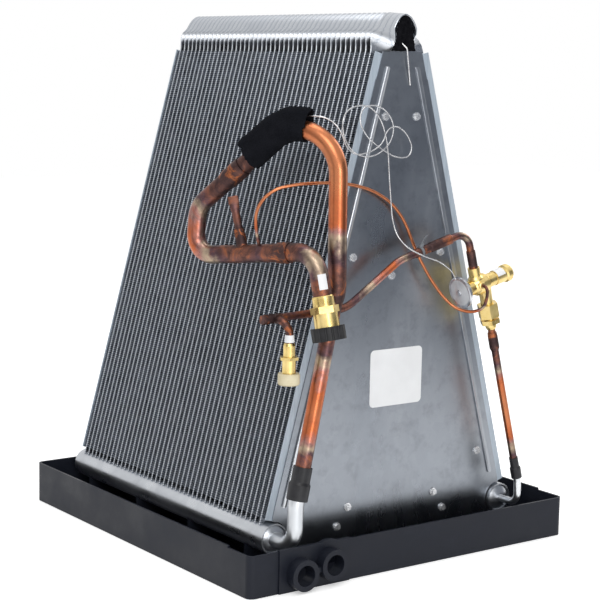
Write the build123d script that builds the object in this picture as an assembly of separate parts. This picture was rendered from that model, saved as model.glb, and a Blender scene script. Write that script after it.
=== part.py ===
from build123d import *
from math import atan2, cos, degrees, hypot, pi, radians, sin, sqrt, tan
import os

# Folded microchannel A-coil in its drain pan, for an upflow furnace cabinet.
# Millimetres, +Z up. The origin is the centre of the pan's underside: X runs across the two slabs,
# and -Y is the front, where the refrigerant piping and the drain ports are.

# ---- driving dimensions -------------------------------------------------------------------------
# drain pan
PAN_W, PAN_D, PAN_H = 504.0, 528.0, 51.0
PAN_WALL = 3.0
PAN_FLOOR = 4.0
PAN_CORNER_R = 9.0
OPENING_HALF_W = 143.0          # air opening through the middle of the pan
DAM_WALL = 4.0                  # wall round the opening that keeps the water in
DAM_H = 58.0
CRADLE_T = 5.0                  # ribs in the side troughs that the headers lie on
CRADLE_Y = (-176.0, -48.0, 80.0, 208.0)
PORT_OD, PORT_BORE = 38.0, 25.4
PORT_LENGTH = 16.0
PORTS = ((-182.0, 21.0), (-139.0, 27.0))     # primary and overflow drain, (x, z)
PORT_PAD = (-211.0, -107.0)     # stretch of the front wall round the ports, thickened outward
PORT_PAD_T = 2.0
RIM_H = 2.6                     # extra height of the side and back walls
RIM_FRONT_Y = -218.0            # where that rim starts, behind the front corners

# coil
TUBES = 44
PITCH = 10.0
TUBE_T, TUBE_W = 2.0, 32.0
FIN_H = PITCH - TUBE_T
SLAB_ANGLE = 15.15              # lean of each slab from the vertical
FIN_LENGTH = 577.0
FIN_FOOT = (192.3, 73.3)        # outer lower edge of the right slab's fins, (x, z)
FIRST_TUBE_Y = -199.0
HEADER_OD = 38.0
HEADER_DROP = 20.5              # header axis below the fins, along the slab
HEADER_Y = (-215.0, 246.0)
HEADER_WALL = 1.8
CAP_SEAT = 4.0                  # how far the end caps sit inside the header's rim
SLOT_FLOOR = 4.0                # bottom of the tube slots, above the header's axis
RIDGE_TOP = 678.0
RIDGE_TWIST = 76.0              # turn of the tubes at the ridge, so that they lap like shingles
END_TWIST = 86.0                # the front tube has none before it and lies flatter
RIDGE_STEPS = 4                 # stations from each slab to the ridge

# sheet metal
SHEET_T = 1.2
STRIP_INNER = 14.0              # flange of the side strips beyond the slab's inner face
PLATE_TOP, PLATE_FOOT = 630.0, 26.0
PLATE_TOP_HALF = 30.6
PLATE_STEP_Z = 597.0            # the plate widens a little below here
PLATE_STEP = 1.4
BEAD_W, BEAD_H = 6.0, 1.8
BEAD_TOP, BEAD_FOOT = 612.0, 85.0
BEAD_INSET = 12.5
SCREWS_PAIRED = ((24.5, 552.0), (69.6, 382.5), (143.2, 117.3), (69.5, 72.0), (85.5, 49.5))
SCREW_SINGLE = (-8.7, 357.0)
SHANK_R = 1.8

# refrigerant tubing, outside diameters
SUCTION_OD, RISER_OD = 22.2, 19.05
LIQUID_OD, EQUALISER_OD, CAPILLARY_OD = 9.5, 4.0, 1.6
PIPE_Y = -250.0                 # plane of the valve and its outlet tube
RISER_Y = -255.0                # plane of the suction riser

# ---- derived frame of the slabs -----------------------------------------------------------------
LEAN = radians(SLAB_ANGLE)
UP = (-sin(LEAN), cos(LEAN))            # up the right slab, (x, z)
IN = (-cos(LEAN), -sin(LEAN))           # from its outer to its inner face
CORE_FRONT = FIRST_TUBE_Y - TUBE_T / 2 - FIN_H
LAST_TUBE_Y = FIRST_TUBE_Y + (TUBES - 1) * PITCH
CORE_BACK = LAST_TUBE_Y + TUBE_T / 2 + FIN_H
STRIP_FRONT = CORE_FRONT - SHEET_T
PLATE_FRONT = STRIP_FRONT - SHEET_T


def slab_xz(along, depth, side=1):
    """Point of a slab: along is up from the fins' foot, depth is in from the outer face."""
    x = FIN_FOOT[0] + along * UP[0] + depth * IN[0]
    z = FIN_FOOT[1] + along * UP[1] + depth * IN[1]
    return side * x, z


HEADER_X, HEADER_Z = slab_xz(-HEADER_DROP, TUBE_W / 2)


def plate_half(z):
    """Half width of the delta plates at a height; their edges run along the slabs."""
    step = PLATE_STEP if z < PLATE_STEP_Z else 0.0
    return PLATE_TOP_HALF + (PLATE_TOP - z) * tan(LEAN) + step


# ---- helpers ------------------------------------------------------------------------------------
def extrude_y(sketch, y0, y1):
    """Extrude a sketch drawn in (x, z) from y0 to y1."""
    plane = Plane(origin=(0, y1, 0), x_dir=(1, 0, 0), z_dir=(0, -1, 0))
    return extrude(plane * sketch, amount=y1 - y0)


def polygon_xz(points):
    return make_face(Polyline(*[(x, z) for x, z in points], close=True))


def box_between(low, high):
    size = [h - l for l, h in zip(low, high)]
    centre = [(h + l) / 2 for l, h in zip(low, high)]
    return Pos(*centre) * Box(*size)


def rounded_column(half_w, y0, y1, radius, z0, z1):
    """Upright block with rounded corners."""
    outline = RectangleRounded(2 * half_w, y1 - y0, radius) if radius else Rectangle(2 * half_w, y1 - y0)
    return extrude(Pos(0, (y0 + y1) / 2, z0) * outline, amount=z1 - z0)


def along(origin, direction, x_dir=None):
    """Plane whose Z is a piece's own axis."""
    if x_dir:
        return Plane(origin=origin, z_dir=direction, x_dir=x_dir)
    return Plane(origin=origin, z_dir=direction)


def turned(profile, origin, direction):
    """Solid of revolution from (radius, height) points, standing at origin along direction."""
    face = make_face(Polyline(*[(r, 0, h) for r, h in profile], close=True))
    return along(origin, direction) * revolve(face, axis=Axis.Z)


def bend_radii(points, largest):
    """One radius for each corner: the former's, or less where the two runs are short."""
    radii = []
    for a, b, c in zip(points, points[1:], points[2:]):
        one, two = Vector(*b) - Vector(*a), Vector(*c) - Vector(*b)
        turn = radians(one.get_angle(two))
        before = one.length * (0.9 if a == points[0] else 0.48)
        after = two.length * (0.9 if c == points[-1] else 0.48)
        radii.append(min(min(before, after) / tan(turn / 2), largest))
    return radii


def tube(points, od, bend=1e9, bore=0.0):
    """Round tube through points, with a tangent arc at each corner."""
    path = FilletPolyline(*points, radius=bend_radii(points, bend)) if len(points) > 2 else Line(*points)
    start = Plane(origin=points[0], z_dir=Vector(*points[1]) - Vector(*points[0]))
    section = Circle(od / 2)
    if bore:
        section = section - Circle(bore / 2)
    return sweep(start * section, path=path)


def step_between(a, b, distance):
    """Point at a distance from a towards b."""
    a, b = Vector(*a), Vector(*b)
    return tuple(a + (b - a).normalized() * distance)


def write(name, *solids):
    """One STEP file for a node; several solids make a group."""
    found = [s for shape in solids for s in shape.solids()]
    shape = found[0] if len(found) == 1 else Compound(children=found)
    shape.label = name
    export_step(shape, os.path.join("parts", name + ".step"))


# ---- drain pan ----------------------------------------------------------------------------------
def drain_pan():
    """One moulding: outer wall, water trough, and a dam round the air opening."""
    half_w, half_d = PAN_W / 2, PAN_D / 2
    opening_front, opening_back = PLATE_FRONT + SHEET_T + DAM_WALL, CORE_BACK + SHEET_T - DAM_WALL
    pan = rounded_column(half_w, -half_d, half_d, PAN_CORNER_R, 0, PAN_H)
    trough = rounded_column(half_w - PAN_WALL, PAN_WALL - half_d, half_d - PAN_WALL,
                            PAN_CORNER_R - PAN_WALL, PAN_FLOOR, PAN_H)
    dam = rounded_column(OPENING_HALF_W + DAM_WALL, opening_front - DAM_WALL, opening_back + DAM_WALL,
                         0, 0, DAM_H)
    opening = rounded_column(OPENING_HALF_W, opening_front, opening_back, 6, 0, DAM_H)
    # the delta plates are screwed to taller stretches of the dam
    for y0, y1 in ((opening_front - DAM_WALL, opening_front), (opening_back, opening_back + DAM_WALL)):
        dam += box_between((-100, y0, 0), (100, y1, 82))
    cradles = []
    for side in (-1, 1):
        inner, outer = OPENING_HALF_W + DAM_WALL, half_w - PAN_WALL
        for y in CRADLE_Y:
            rib = box_between((inner, y - CRADLE_T / 2, PAN_FLOOR),
                              (HEADER_X + 16, y + CRADLE_T / 2, HEADER_Z - 11))
            if side < 0:
                rib = mirror(rib, about=Plane.YZ)
            cradles.append(rib)
    pan = pan - trough + dam - opening
    # wall round the ports is thicker, and each port is a threaded boss with a web to the next
    x0, x1 = PORT_PAD
    pan += box_between((x0, -half_d - PORT_PAD_T, 0), (x1, -half_d + PAN_WALL, PAN_H + 1.5))
    for rib in cradles:
        pan += rib
    front = -half_d - PORT_LENGTH
    (xa, za), (xb, zb) = PORTS
    web = polygon_xz([(xa, za - 3), (xb, zb - 3), (xb, zb + 3), (xa, za + 3)])
    pan += extrude_y(web, front + 3, -half_d)
    for x, z in PORTS:
        pan += extrude_y(Pos(x, z) * Circle(PORT_OD / 2), front, -half_d + PAN_WALL)
    for x, z in PORTS:
        pan -= extrude_y(Pos(x, z) * Circle(PORT_BORE / 2), front, -half_d + PAN_WALL)
    # raised rim of the side and back walls, and the hump of the front wall over the inner port
    outer = rounded_column(half_w, -half_d, half_d, PAN_CORNER_R, PAN_H, PAN_H + RIM_H)
    inner = rounded_column(half_w - PAN_WALL, PAN_WALL - half_d, half_d - PAN_WALL, PAN_CORNER_R - PAN_WALL,
                           PAN_H, PAN_H + RIM_H)
    pan += outer - inner - box_between((-300, -300, 0), (300, RIM_FRONT_Y, 100))
    hump = Pos(*PORTS[1]) * Circle(28.5) & Pos(PORTS[1][0], 53) * Rectangle(60, 8)
    pan += extrude_y(hump, -half_d - PORT_PAD_T, -half_d + PAN_WALL)
    # shanks of the lower plate screws
    for x, z in screw_points():
        if z < 82:
            pan -= extrude_y(Pos(x, z) * Circle(SHANK_R), -half_d + 10, half_d - 10)
    # headers lie in the cradles
    for side in (-1, 1):
        pan -= extrude_y(Pos(side * HEADER_X, HEADER_Z) * Circle(HEADER_OD / 2), *HEADER_Y)
    # anything of the boss below the underside is cut level with it
    return pan - box_between((-300, -300, -20), (300, 300, 0))


# ---- coil ---------------------------------------------------------------------------------------
def header(side):
    """Round manifold with a rim at each end for its cap, and a slot for every tube."""
    centre = Pos(side * HEADER_X, HEADER_Z)
    body = extrude_y(centre * Circle(HEADER_OD / 2), *HEADER_Y)
    seat = HEADER_OD / 2 - HEADER_WALL
    for y0, y1 in ((HEADER_Y[0], HEADER_Y[0] + CAP_SEAT), (HEADER_Y[1] - CAP_SEAT, HEADER_Y[1])):
        body -= extrude_y(centre * Circle(seat), y0, y1)
    slots = []
    for k in range(TUBES):
        y = FIRST_TUBE_Y + k * PITCH
        foot = SLOT_FLOOR - HEADER_DROP
        corners = [slab_xz(a, d, side) for a, d in ((foot, 0), (0, 0), (0, TUBE_W), (foot, TUBE_W))]
        slots.append(extrude_y(polygon_xz(corners), y - TUBE_T / 2, y + TUBE_T / 2))
    return body - slots


def end_cap(side, front, port_od=0.0):
    """Domed cap brazed inside the header's rim, with a hole where a pipe leaves it."""
    seat = HEADER_OD / 2 - HEADER_WALL
    y = HEADER_Y[0] + CAP_SEAT if front else HEADER_Y[1] - CAP_SEAT
    out = -1 if front else 1
    dome_r = 34.0
    rim = 2.0
    dome_h = dome_r - sqrt(dome_r**2 - seat**2)
    with BuildSketch(Plane.XZ) as half:
        with BuildLine():
            Line((0, 0), (seat, 0))
            Line((seat, 0), (seat, rim))
            RadiusArc((seat, rim), (0, rim + dome_h), -dome_r)
            Line((0, rim + dome_h), (0, 0))
        make_face()
    cap = revolve(half.sketch, axis=Axis.Z)
    if port_od:
        cap -= Cylinder(port_od / 2, 60)
    return along((side * HEADER_X, y, HEADER_Z), (0, out, 0)) * cap


def tube_sections(ridge_twist):
    """(centre x, centre z, lean in degrees, twist) of a tube from the left header to the ridge."""
    stations = []
    for distance in (SLOT_FLOOR - HEADER_DROP, FIN_LENGTH + 1.0):
        x, z = slab_xz(distance, TUBE_W / 2, -1)
        stations.append((x, z, SLAB_ANGLE, 0.0))
    x0, z0 = stations[-1][:2]
    top = RIDGE_TOP - TUBE_W / 2 * cos(radians(ridge_twist)) - TUBE_T / 2
    for i in range(1, RIDGE_STEPS + 1):
        share = i / RIDGE_STEPS
        angle = LEAN + (pi / 2 - LEAN) * share
        x = x0 * cos(angle) / cos(LEAN)
        z = z0 + (top - z0) * (sin(angle) - sin(LEAN)) / (1 - sin(LEAN))
        stations.append((x, z, degrees(angle), ridge_twist * min(1.0, 2.2 * share)))
    return stations


def tube_rings(ridge_twist):
    """Corner points of the tube's section at every station, header to header, about y = 0."""
    left = tube_sections(ridge_twist)
    right = [(-x, z, 180 - a, t) for x, z, a, t in reversed(left[:-1])]
    rings = []
    for x, z, angle, twist in left + right:
        a, t = radians(angle), radians(twist)
        inward = Vector(cos(a), 0, -sin(a))
        width = inward * cos(t) + Vector(0, -sin(t), 0)
        flat = inward * sin(t) + Vector(0, cos(t), 0)
        centre = Vector(x, 0, z)
        corners = ((-1, -1), (-1, 1), (1, 1), (1, -1))
        rings.append([centre + width * (w * TUBE_W / 2) + flat * (f * TUBE_T / 2) for w, f in corners])
    return rings


def coil_tube(ridge_twist=RIDGE_TWIST):
    """One flat tube of the coil: up the left slab, twisted over the ridge, down the right slab."""
    rings = tube_rings(ridge_twist)
    faces = [Face(Wire.make_polygon(rings[0])), Face(Wire.make_polygon(rings[-1]))]
    for one, two in zip(rings, rings[1:]):
        for i in range(4):
            a, b, c, d = one[i], one[(i + 1) % 4], two[(i + 1) % 4], two[i]
            faces.append(Face(Wire.make_polygon([a, b, c])))
            faces.append(Face(Wire.make_polygon([a, c, d])))
    return Solid(Shell(faces))


def fins(side):
    """The fin strips of one slab, one in each gap between the tubes and beside the side strips."""
    corners = [slab_xz(a, d, side) for a, d in ((0, 0), (FIN_LENGTH, 0), (FIN_LENGTH, TUBE_W), (0, TUBE_W))]
    face = polygon_xz(corners)
    strips = []
    for k in range(TUBES + 1):
        y = CORE_FRONT + k * PITCH
        strips.append(extrude_y(face, y, y + FIN_H))
    return strips


def side_strip(side, front):
    """Flat strip that closes a slab's end, with a flange inward that the delta plate is screwed to."""
    far = TUBE_W + STRIP_INNER
    outline = [slab_xz(a, d, side) for a, d in ((0, 0), (FIN_LENGTH, 0), (FIN_LENGTH, far), (0, far))]
    y0 = STRIP_FRONT if front else CORE_BACK
    strip = extrude_y(polygon_xz(outline), y0, y0 + SHEET_T)
    half = box_between((0.8, y0 - 1, 0), (300, y0 + 2, 700))
    return (strip & (half if side > 0 else mirror(half, about=Plane.YZ))) - screw_holes(y0)


def screw_points():
    points = [(side * x, z) for x, z in SCREWS_PAIRED for side in (-1, 1)]
    return points + [SCREW_SINGLE]


def screw_holes(y0):
    holes = Sketch() + [Pos(x, z) * Circle(SHANK_R) for x, z in screw_points()]
    return extrude_y(holes, y0 - 1, y0 + SHEET_T + 1)


def delta_plate(front):
    """Sheet that closes the end of the A, with two pressed beads along its edges."""
    half = [(plate_half(PLATE_TOP), PLATE_TOP), (plate_half(PLATE_STEP_Z + 0.01), PLATE_STEP_Z + 1),
            (plate_half(PLATE_STEP_Z - 1), PLATE_STEP_Z - 1), (plate_half(76), 76),
            (HEADER_X, HEADER_Z), (160, PLATE_FOOT)]
    outline = half + [(-x, z) for x, z in reversed(half)]
    sketch = polygon_xz(outline)
    for side in (-1, 1):
        sketch -= Pos(side * HEADER_X, HEADER_Z) * Circle(HEADER_OD / 2 + 1.5)
    y0 = PLATE_FRONT if front else CORE_BACK + SHEET_T
    plate = extrude_y(sketch, y0, y0 + SHEET_T) - screw_holes(y0)
    out = -1 if front else 1
    face_y = y0 if front else y0 + SHEET_T
    back_y = face_y - out * SHEET_T
    for side in (-1, 1):
        top = (side * (plate_half(BEAD_TOP) - BEAD_INSET), BEAD_TOP)
        foot = (side * (plate_half(BEAD_FOOT) - BEAD_INSET), BEAD_FOOT)
        middle = ((top[0] + foot[0]) / 2, (top[1] + foot[1]) / 2)
        length = hypot(top[0] - foot[0], top[1] - foot[1])
        turn = degrees(atan2(top[1] - foot[1], top[0] - foot[0]))
        bead = Pos(*middle) * Rot(0, 0, turn) * SlotOverall(length, BEAD_W)
        groove = Pos(*middle) * Rot(0, 0, turn) * SlotOverall(length - 2 * SHEET_T, BEAD_W - 2 * SHEET_T)
        ys = sorted((face_y, face_y + out * BEAD_H))
        gs = sorted((back_y, back_y + out * BEAD_H))
        plate += extrude_y(bead, *ys)
        plate -= extrude_y(groove, *gs)
    return plate


def screw(x, z, face_y, out):
    """Sheet-metal screw with a hex washer head; out is -1 on the front plate and 1 on the rear one."""
    head = Pos(0, 0, 1.2) * extrude(RegularPolygon(3.7, 6), amount=3.0)
    washer = extrude(Circle(5.2), amount=1.2)
    shank = extrude(Circle(SHANK_R), amount=-9)
    return along((x, face_y, z), (0, out, 0)) * (head + washer + shank)


def foam_plug(front, clip=None):
    """Foam pushed into the end of the fold over the plate's edge; its front leans out over the tubes."""
    foot = PLATE_TOP + 0.3
    half = [(19.5, foot), (14.0, 645), (8.5, 657), (9.0, 668), (7.0, 676), (2.0, 679.5)]
    if front:
        lean = [(-213.0, foot), (-216.5, 645), (-219.5, 657), (-221.5, 668), (-220.5, 676), (-217.5, 680),
                (-216.3, 680), (-216.3, 660), (-212.2, 639), (-209.4, foot)]
    else:
        half = half[:3]
        lean = [(236.5, foot), (242.4, foot), (242.4, 660), (236.5, 660)]
    outline = polygon_xz(half + [(-x, z) for x, z in reversed(half)])
    side_view = make_face(Polyline(*[(0, y, z) for y, z in lean], close=True))
    plug = extrude_y(outline, -300, 300) & extrude(side_view, amount=30, dir=(1, 0, 0), both=True)
    if front:
        plug = plug + box_between((-6, -213, foot), (6, -203, 650)) - clip
    return plug


# ---- suction side -------------------------------------------------------------------------------
RISER_FOOT = (-176.0, RISER_Y, 125.0)
RISER_SWAGE = (-129.3, RISER_Y, 345.0)
RISER_KINK = step_between(RISER_FOOT, RISER_SWAGE, -25.6)
RISER_KNEE = step_between(RISER_SWAGE, RISER_FOOT, -8.2)
RISER_TOP = (-130.0, RISER_Y, 596.0)            # corner over the bend
TRAP_JOINT = (-193.0, -125.0, 476.0)            # where the riser enters the trap's socket
TRAP_LEFT = step_between(TRAP_JOINT, RISER_TOP, -57.5)
TRAP_LOW = (-214.5, -82.0, 380.0)
ELBOW_CORNER = (-163.5, -259.5, 399.0)
SUCTION_TOP = (-160.2, -270.5, 349.0)           # top of the suction fitting
SUCTION_AXIS = Vector(*SUCTION_TOP) - Vector(*ELBOW_CORNER)
COUPLING = step_between(ELBOW_CORNER, TRAP_LOW, 45.0)
SOCKET = 24.0                                   # length of a brazed socket
TOP_BEND = 52.0


def suction_elbow():
    """Aluminium stub from the left header's cap, up to the joint with the copper riser."""
    start = (-HEADER_X, HEADER_Y[0] + CAP_SEAT, HEADER_Z)
    return tube([start, (-HEADER_X, RISER_Y, HEADER_Z), RISER_KINK, RISER_FOOT], RISER_OD, bend=26)


def shrink_sleeve(joint, direction, od, length, thick, thin):
    """Heat-shrink over an aluminium-to-copper joint, wider where it covers the joint's socket."""
    r = od / 2
    profile = [(r, -0.45 * length), (r + thick, -0.45 * length), (r + thick + 0.2, 0),
               (r + thin, 0.08 * length), (r + thin, 0.5 * length), (r, 0.5 * length)]
    return turned(profile, joint, direction)


RISER_WAY = Vector(*RISER_SWAGE) - Vector(*RISER_FOOT)


def lower_riser():
    return tube([RISER_FOOT, RISER_SWAGE], RISER_OD)


def upper_riser():
    """7/8 in pipe swaged onto the lower riser, over the top bend and down to the trap's socket."""
    pipe = tube([RISER_SWAGE, RISER_KNEE, RISER_TOP, TRAP_JOINT], SUCTION_OD, bend=TOP_BEND)
    a, b = RISER_OD / 2, SUCTION_OD / 2
    return pipe + turned([(a, -8), (a + 0.5, -8), (b, 0), (a, 0)], RISER_SWAGE, RISER_WAY)


def suction_trap():
    """Return bend under the riser, with a socket at its upper end and a run to the coupling."""
    pipe = tube([TRAP_JOINT, TRAP_LEFT, TRAP_LOW, COUPLING], SUCTION_OD, bend=34)
    inward = Vector(*RISER_TOP) - Vector(*TRAP_JOINT)
    r = SUCTION_OD / 2
    socket = turned([(r, 0), (r + 1.4, 0), (r + 1.4, SOCKET), (r, SOCKET)], TRAP_JOINT, inward)
    neck = turned([(0, -9), (r, -9), (r + 1.4, 0), (0, 0)], TRAP_JOINT, inward)
    return pipe + socket + neck


def suction_coupling():
    """Brazed coupling that joins the trap to the elbow."""
    r = SUCTION_OD / 2
    way = Vector(*ELBOW_CORNER) - Vector(*TRAP_LOW)
    profile = [(r, -9), (r + 1.0, -9), (r + 1.6, -5), (r + 1.6, 5), (r + 1.0, 9), (r, 9)]
    return turned(profile, COUPLING, way)


def suction_bend():
    return tube([COUPLING, ELBOW_CORNER, SUCTION_TOP], SUCTION_OD, bend=30)


def suction_fitting():
    """Brass coupling half: solder collar, hexagon, and a male thread under the cap."""
    place = along(SUCTION_TOP, SUCTION_AXIS)
    collar = turned([(0, 0), (12.2, 0), (12.8, 1), (12.8, 12), (0, 12)], SUCTION_TOP, SUCTION_AXIS)
    hexagon = place * (Pos(0, 0, 12) * extrude(RegularPolygon(17.0, 6), amount=8))
    thread = turned([(0, 20), (14.6, 20), (14.8, 38), (0, 38)], SUCTION_TOP, SUCTION_AXIS)
    return collar + hexagon + thread


def suction_cap():
    """Moulded dust cap with grip flutes, over the end of the thread."""
    place = along(SUCTION_TOP, SUCTION_AXIS)
    outline = Circle(20.0)
    for i in range(16):
        outline -= Rot(0, 0, i * 22.5) * Pos(20.6, 0) * Circle(1.6)
    body = Pos(0, 0, 36) * extrude(outline, amount=16)
    inner = Pos(0, 0, 20) * extrude(Circle(14.8), amount=18)
    return place * (body - inner)


def suction_tag():
    """Blank paper tag wrapped round the elbow above the fitting."""
    r = SUCTION_OD / 2
    way = Vector(*SUCTION_TOP) - Vector(*ELBOW_CORNER)
    middle = step_between(SUCTION_TOP, ELBOW_CORNER, 16.0)
    band = turned([(r, -9), (r + 0.4, -9), (r + 0.4, 9), (r, 9)], middle, way)
    keep = along(middle, way, x_dir=(0.8, -0.6, 0)) * (Pos(6, -14, 0) * Box(22, 28, 20))
    return band & keep


PROCESS_FOOT = step_between(TRAP_LOW, ELBOW_CORNER, 78.0)
PROCESS_WAY = (-6.0, 20.0, 78.0)


def process_socket():
    """Cup brazed on the trap's run for the process tube."""
    profile = [(0, 8), (7.0, 8), (6.6, 13), (6.4, 30), (4.8, 30), (4.8, 20), (0, 20)]
    cup = turned(profile, PROCESS_FOOT, PROCESS_WAY)
    return cup - tube([TRAP_LOW, COUPLING], SUCTION_OD)


def process_tube():
    """Process tube, pinched flat and sealed at its tip."""
    place = along(PROCESS_FOOT, PROCESS_WAY, x_dir=(0.8, -0.6, 0))
    shaft = Pos(0, 0, 20) * extrude(Circle(4.8), amount=30)
    pinch = loft([Pos(0, 0, 50) * Circle(4.8), Pos(0, 0, 62) * Ellipse(6.4, 1.6)])
    tip = Pos(0, 0, 62) * extrude(Ellipse(6.4, 1.6), amount=8)
    return place * (shaft + pinch + tip)


# ---- sensing bulb -------------------------------------------------------------------------------
BULB_WAY = (Vector(*TRAP_JOINT) - Vector(*RISER_TOP)).normalized()
BULB_SIDE = Vector(0.9, 0.436, 0)               # level, across the pipe
BULB_MIDDLE = step_between(RISER_TOP, TRAP_JOINT, 126.0)
BULB_R, BULB_LENGTH = 6.35, 44.0
BULB_OFFSET = SUCTION_OD / 2 + BULB_R
TOP_TURN = (Vector(*RISER_TOP) - Vector(*RISER_KNEE)).get_angle(BULB_WAY)
BEND_END = step_between(RISER_TOP, TRAP_JOINT, TOP_BEND * tan(radians(TOP_TURN / 2)))
FELT_LENGTH, FELT_TURN = 42.0, 54.0             # along the straight, and back round the bend
FELT_T = 5.0


def bulb_point(back):
    """Point on the bulb's axis, so far back from its middle."""
    plane = along(BULB_MIDDLE, BULB_WAY, x_dir=BULB_SIDE)
    return tuple(plane.from_local_coords(Vector(0, -BULB_OFFSET, -back)))


BULB_NECK = bulb_point(BULB_LENGTH / 2 + 8)


def under_felt(origin):
    """Plane across the suction pipe; the bulb lies on its -Y side, on the outside of the bend."""
    return along(origin, BULB_WAY, x_dir=BULB_SIDE)


def two_round(extra):
    """Outline round the pipe and the bulb, standing off them by extra."""
    pipe, bulb = Circle(SUCTION_OD / 2 + extra), Pos(0, -BULB_OFFSET) * Circle(BULB_R + extra)
    return make_hull((pipe + bulb).edges())


def sensing_bulb():
    """Bulb of the expansion valve, with the drawn-down neck that its capillary leaves by."""
    r, half = BULB_R, BULB_LENGTH / 2
    profile = [(0, -half - 8), (1.6, -half - 8), (1.6, -half - 3), (r, -half), (r, half), (0, half)]
    return turned(profile, bulb_point(0), BULB_WAY)


def bulb_strap():
    """Metal band that holds the bulb to the pipe."""
    band = extrude(two_round(0.8), amount=5) - extrude(two_round(0.0), amount=5)
    return under_felt(BULB_MIDDLE) * band


def felt_wrap(strap):
    """Felt wrapped over the bulb and round the top bend of the pipe."""
    plane = under_felt(BEND_END)
    pivot = plane.from_local_coords(Vector(0, TOP_BEND, 0))
    wrap = []
    for extra in (FELT_T, 0.0):
        outline = two_round(extra)
        straight = plane * extrude(outline, amount=FELT_LENGTH)
        bend = revolve(plane * outline, axis=Axis(pivot, BULB_SIDE), revolution_arc=FELT_TURN)
        wrap.append(straight + bend)
    return wrap[0] - wrap[1] - strap


# ---- liquid side --------------------------------------------------------------------------------
LINE_Y = -232.0                                 # the liquid line runs behind the riser
LINE_END = (-218.0, LINE_Y, 320.0)
LINE_BEND = (-95.0, LINE_Y, 325.0)
LINE_CORNER = (-22.0, -240.0, 379.0)
VALVE = (104.0, PIPE_Y, 344.0)                  # centre of the expansion valve's body
DOWN = (sin(LEAN), 0.0, -cos(LEAN))             # the valve's outlet, along the right slab
HEAD = (-cos(LEAN), 0.0, -sin(LEAN))            # towards its power head
LINE_WAY = Vector(*LINE_BEND) - Vector(*LINE_END)
BRANCH_FOOT = step_between(LINE_END, LINE_BEND, 18.5)
BRANCH_CORNER = (-199.5, -251.0, 319.0)
BRANCH_KINK = (-191.8, -251.0, 308.0)
LIQUID_TOP = (-191.8, -251.0, 292.0)
LIQUID_AXIS = (0.0, 0.0, -1.0)


def valve_point(down, head, front=0.0):
    """Point by its distances from the valve's centre: along the outlet, to the head, to the front."""
    centre = (VALVE[0], VALVE[1] - front, VALVE[2])
    return tuple(c + down * d + head * h for c, d, h in zip(centre, DOWN, HEAD))


INLET_OFFSET, OUTLET_OFFSET = 7.0, -5.0
EQUALISER_PORT = valve_point(-2.0, 8.0)
INLET_TOP = valve_point(-24.0, INLET_OFFSET)
INLET_CORNER = valve_point(-71.0, INLET_OFFSET)
OUTLET_END = valve_point(56.0, OUTLET_OFFSET)
OUTLET_FOOT = valve_point(262.4, OUTLET_OFFSET)
ELBOW_KINK = valve_point(275.0, OUTLET_OFFSET)
LINE_JOINT = step_between(LINE_CORNER, INLET_CORNER, 46.6)


def liquid_line():
    start = step_between(LINE_END, LINE_BEND, 14.0)
    return tube([start, LINE_BEND, LINE_CORNER, LINE_JOINT], LIQUID_OD, bend=40)


def liquid_tee():
    """Swaged tee on the line's closed end, where the branch to the fitting leaves."""
    r = LIQUID_OD / 2
    body = turned([(0, 0), (r + 0.6, 0), (r + 1.0, 3), (r + 1.0, 26), (0, 26)], LINE_END, LINE_WAY)
    side = turned([(0, 0), (r + 1.0, 0), (r + 1.0, 8), (0, 8)], BRANCH_FOOT, (0, -1, 0))
    way = step_between(LINE_END, LINE_BEND, 14.0)
    return body + side - tube([way, LINE_BEND], LIQUID_OD) - liquid_branch()


def liquid_branch():
    start = (BRANCH_FOOT[0], LINE_Y - LIQUID_OD / 2 + 0.6, BRANCH_FOOT[2])
    pipe = tube([start, BRANCH_CORNER, BRANCH_KINK, LIQUID_TOP], LIQUID_OD, bend=12)
    return pipe - tube([LINE_END, LINE_BEND], LIQUID_OD)


def liquid_fitting():
    """Brass coupling half of the liquid line."""
    place = along(LIQUID_TOP, LIQUID_AXIS)
    profile = [(0, -2), (5.8, -2), (7.0, 1), (7.0, 14), (8.0, 17), (8.0, 43), (0, 43)]
    body = turned(profile, LIQUID_TOP, LIQUID_AXIS)
    flange = place * (Pos(0, 0, 14) * extrude(RegularPolygon(11.8, 6), amount=3.5))
    return body + flange - tube([BRANCH_KINK, LIQUID_TOP], LIQUID_OD)


def liquid_cap():
    profile = [(0, 47), (11.8, 47), (13.0, 45.5), (13.0, 35), (12.2, 33.5), (8.0, 33.5), (8.0, 43), (0, 43)]
    return turned(profile, LIQUID_TOP, LIQUID_AXIS)


def liquid_tag():
    """Blank paper tag round the branch above the fitting."""
    r = LIQUID_OD / 2
    return turned([(r, -11.5), (r + 0.5, -11.5), (r + 1.3, -3), (r, -3)], LIQUID_TOP, LIQUID_AXIS)


def line_coupling():
    """Joint of the liquid line and the valve's inlet tube, with a wider socket on its valve side."""
    r = LIQUID_OD / 2
    profile = [(r, -23), (r + 0.9, -22), (r + 1.0, 0), (r + 1.6, 2), (r + 1.6, 33), (r, 35)]
    return turned(profile, LINE_JOINT, Vector(*INLET_CORNER) - Vector(*LINE_CORNER))


def valve_inlet_tube():
    return tube([LINE_JOINT, INLET_CORNER, INLET_TOP], LIQUID_OD, bend=17)


def inlet_socket():
    """Swaged socket that takes the inlet tube into the valve's neck."""
    r = LIQUID_OD / 2
    way = Vector(*INLET_CORNER) - Vector(*INLET_TOP)
    return turned([(r, 0), (r + 1.0, 0), (r + 1.0, 22), (r, 22)], INLET_TOP, way)


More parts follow.
